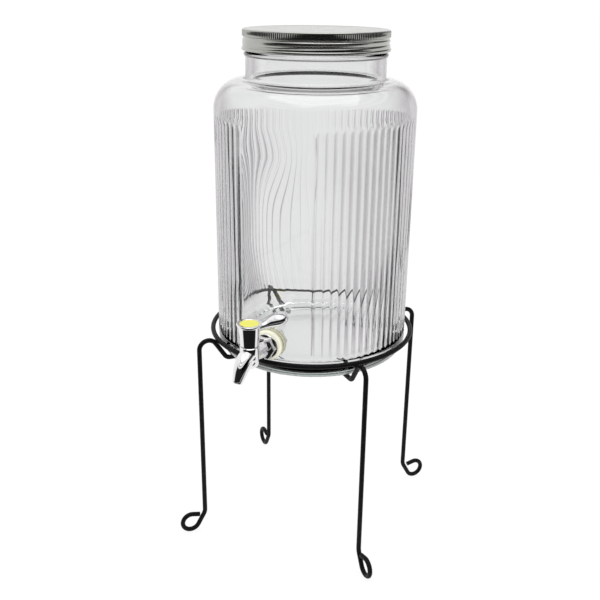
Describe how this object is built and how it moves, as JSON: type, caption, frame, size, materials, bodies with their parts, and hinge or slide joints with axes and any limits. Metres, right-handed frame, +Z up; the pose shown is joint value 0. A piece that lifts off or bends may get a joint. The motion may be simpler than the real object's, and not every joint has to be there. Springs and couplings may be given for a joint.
{
  "type": "drink dispenser jar with tap and stand",
  "caption": "Fluted clear glass dispenser jar with a metal screw lid and a chrome lever tap, standing in a tall black wire stand.",
  "frame": {"origin": "on the floor that the stand's feet rest on, under the jar's axis", "axes": "+Z up along the jar's axis, the tap points along -Y, +X to the right of someone facing the tap"},
  "size_m": [0.236, 0.2858, 0.5335],
  "materials": {
    "black_wire": "satin black powder coat on steel wire",
    "clear_glass": "clear pressed glass with a faint grey-green cast",
    "satin_lid": "satin silver lacquered tinplate",
    "white_liner": "white foam sealing disc",
    "tap_chrome": "mirror chrome plating on moulded plastic",
    "cream_silicone": "translucent cream silicone",
    "white_nut": "white moulded plastic",
    "black_seal": "black rubber",
    "screw_steel": "bright zinc",
    "yellow_disc": "plain lemon yellow gloss"
  },
  "bodies": {
    "stand": {"stand_ring": "black_wire", "leg_back_right": "black_wire", "leg_back_left": "black_wire", "leg_front_left": "black_wire", "leg_front_right": "black_wire"},
    "jar": {"glass_jar": "clear_glass", "tap_body": "tap_chrome", "outer_washer": "cream_silicone", "inner_washer": "cream_silicone", "lock_nut": "white_nut", "bonnet_ring": "white_nut"},
    "lid_seal": {"lid_liner": "white_liner"},
    "lid": {"lid_shell": "satin_lid"},
    "handle": {"tap_handle": "tap_chrome", "valve_plug": "white_nut", "lower_seal_ring": "black_seal", "upper_seal_ring": "black_seal", "handle_screw": "screw_steel", "indicator_disc": "yellow_disc"}
  },
  "joints": [
    {"name": "jar_lift", "type": "slide", "parent": "stand", "child": "jar", "axis": [0, 0, 1], "range_m": [0, 0.05]},
    {"name": "lid_rise", "type": "slide", "parent": "jar", "child": "lid_seal", "axis": [0, 0, 1], "range_m": [0, 0.032]},
    {"name": "lid_turn", "type": "hinge", "parent": "lid_seal", "child": "lid", "pos_m": [0, 0, 0.5236], "axis": [0, 0, 1], "range_deg": [0, 1800]},
    {"name": "handle_turn", "type": "hinge", "parent": "jar", "child": "handle", "pos_m": [0, -0.1394, 0.2695], "axis": [0, 0, 1], "range_deg": [-90, 0]}
  ],
  "couplings": [
    {"joint": "lid_rise", "follows": "lid_turn", "m_per_rad": 0.0010106}
  ]
}
